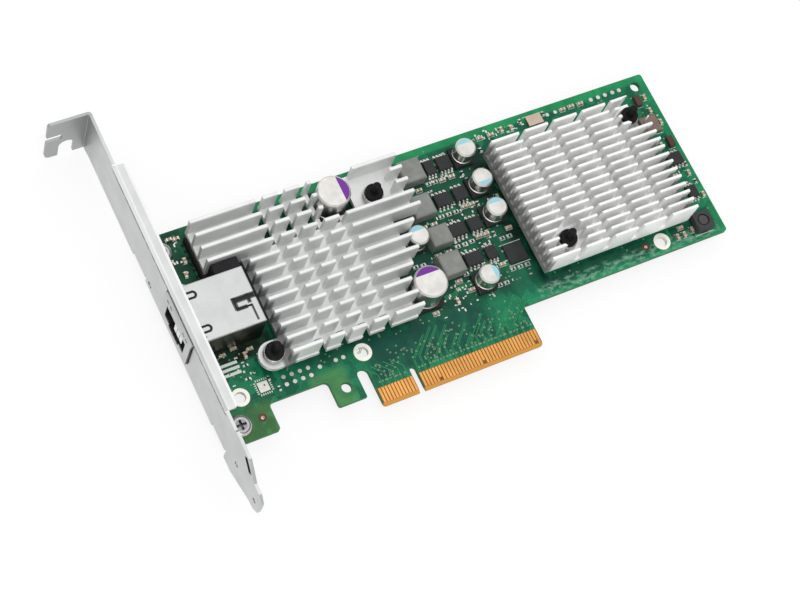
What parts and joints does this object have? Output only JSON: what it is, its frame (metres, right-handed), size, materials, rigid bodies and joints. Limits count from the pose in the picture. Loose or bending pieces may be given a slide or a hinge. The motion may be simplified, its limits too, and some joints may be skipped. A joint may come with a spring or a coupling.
{
  "type": "network interface card",
  "caption": "Low board network card with an edge connector, full-height slot bracket, shielded jack, finned heatsinks and power parts.",
  "frame": {"origin": "middle of the key notch, on the lower edge of the contact fingers, on the component face", "axes": "+X along the card away from the bracket, +Y up the board away from the slot, +Z out of the component face"},
  "size_m": [0.1803, 0.119, 0.0216],
  "materials": {
    "board": "semi gloss green solder mask",
    "bracket": "plated steel sheet, satin",
    "capacitor_base": "moulded",
    "capacitor_can": "bright drawn can",
    "ceramic": "ceramic with tinned ends",
    "chip": "moulded",
    "crystal_can": "plated lid",
    "ferrite": "ferrite",
    "gold": "gold plated",
    "heatsink": "satin extrusion",
    "housing": "moulded",
    "inductor": "pressed powder",
    "light_pipe": "clear moulded",
    "moulding": "moulded",
    "oscillator": "brown lid",
    "pad": "matte",
    "push_pin": "moulded",
    "resistor": "ceramic with tinned ends",
    "screw": "plated steel",
    "shield": "tinned sheet, satin",
    "spring": "plated wire",
    "tantalum": "moulded",
    "tin": "tinned, satin"
  },
  "bodies": {
    "root": {"bracket_screws": "screw", "ceramic_capacitors": "ceramic", "chip_leads": "tin", "chip_resistors": "resistor", "chip_solder_balls": "tin", "circuit_board": "board", "contact_fingers_back": "gold", "contact_fingers_front": "gold", "controller_chip": "chip", "controller_heatsink": "heatsink", "controller_thermal_pad": "pad", "crystal": "crystal_can", "flash_memory": "chip", "heatsink_pin_springs": "spring", "heatsink_push_pins": "push_pin", "hole_rings": "tin", "io_bracket": "bracket", "jack_contacts": "gold", "jack_housing": "housing", "jack_light_pipes": "light_pipe", "jack_shield": "shield", "large_capacitor_1_base": "capacitor_base", "large_capacitor_1_can": "capacitor_can", "large_capacitor_2_base": "capacitor_base", "large_capacitor_2_can": "capacitor_can", "magnetics_module": "moulding", "oscillator": "oscillator", "phy_chip": "chip", "phy_heatsink": "heatsink", "phy_thermal_pad": "pad", "power_inductor_1": "inductor", "power_inductor_2": "inductor", "power_inductor_3": "inductor", "power_inductor_4": "inductor", "power_switch_1": "chip", "power_switch_2": "chip", "power_switch_3": "chip", "power_switch_4": "chip", "sensor_chip": "chip", "shielded_inductor": "ferrite", "small_capacitor_1_base": "capacitor_base", "small_capacitor_1_can": "capacitor_can", "small_capacitor_2_base": "capacitor_base", "small_capacitor_2_can": "capacitor_can", "small_capacitor_3_base": "capacitor_base", "small_capacitor_3_can": "capacitor_can", "small_capacitor_4_base": "capacitor_base", "small_capacitor_4_can": "capacitor_can", "small_capacitor_5_base": "capacitor_base", "small_capacitor_5_can": "capacitor_can", "square_chip": "chip", "switch_driver_1": "chip", "switch_driver_2": "chip", "switch_driver_3": "chip", "switch_driver_4": "chip", "tantalum_capacitors": "tantalum"}
  },
  "joints": []
}
